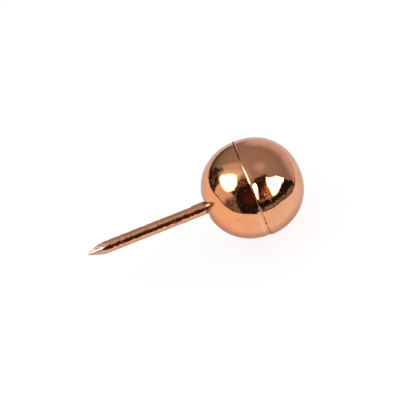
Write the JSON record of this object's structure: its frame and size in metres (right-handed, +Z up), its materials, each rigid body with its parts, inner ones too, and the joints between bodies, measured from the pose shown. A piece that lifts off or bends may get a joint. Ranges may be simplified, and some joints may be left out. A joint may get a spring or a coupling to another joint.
{
  "type": "ball-headed nail",
  "caption": "Nail with a round wire shank, a short blunt point and a bright copper-coloured hollow ball for a head, pressed from two lapped half shells",
  "frame": {"origin": "the middle of the small blunt flat at the nail's point", "axes": "+X runs along the shank from the point to the ball, +Z is up, and the nail lies level, as it is when driven into a wall"},
  "size_m": [0.0356, 0.016, 0.016],
  "materials": {
    "copper_wire": "gloss",
    "copper_rear": "polished",
    "copper_front": "polished",
    "filling": "matte"
  },
  "bodies": {
    "root": {"nail": "copper_wire", "rear_shell": "copper_rear", "front_shell": "copper_front", "core": "filling"}
  },
  "joints": []
}
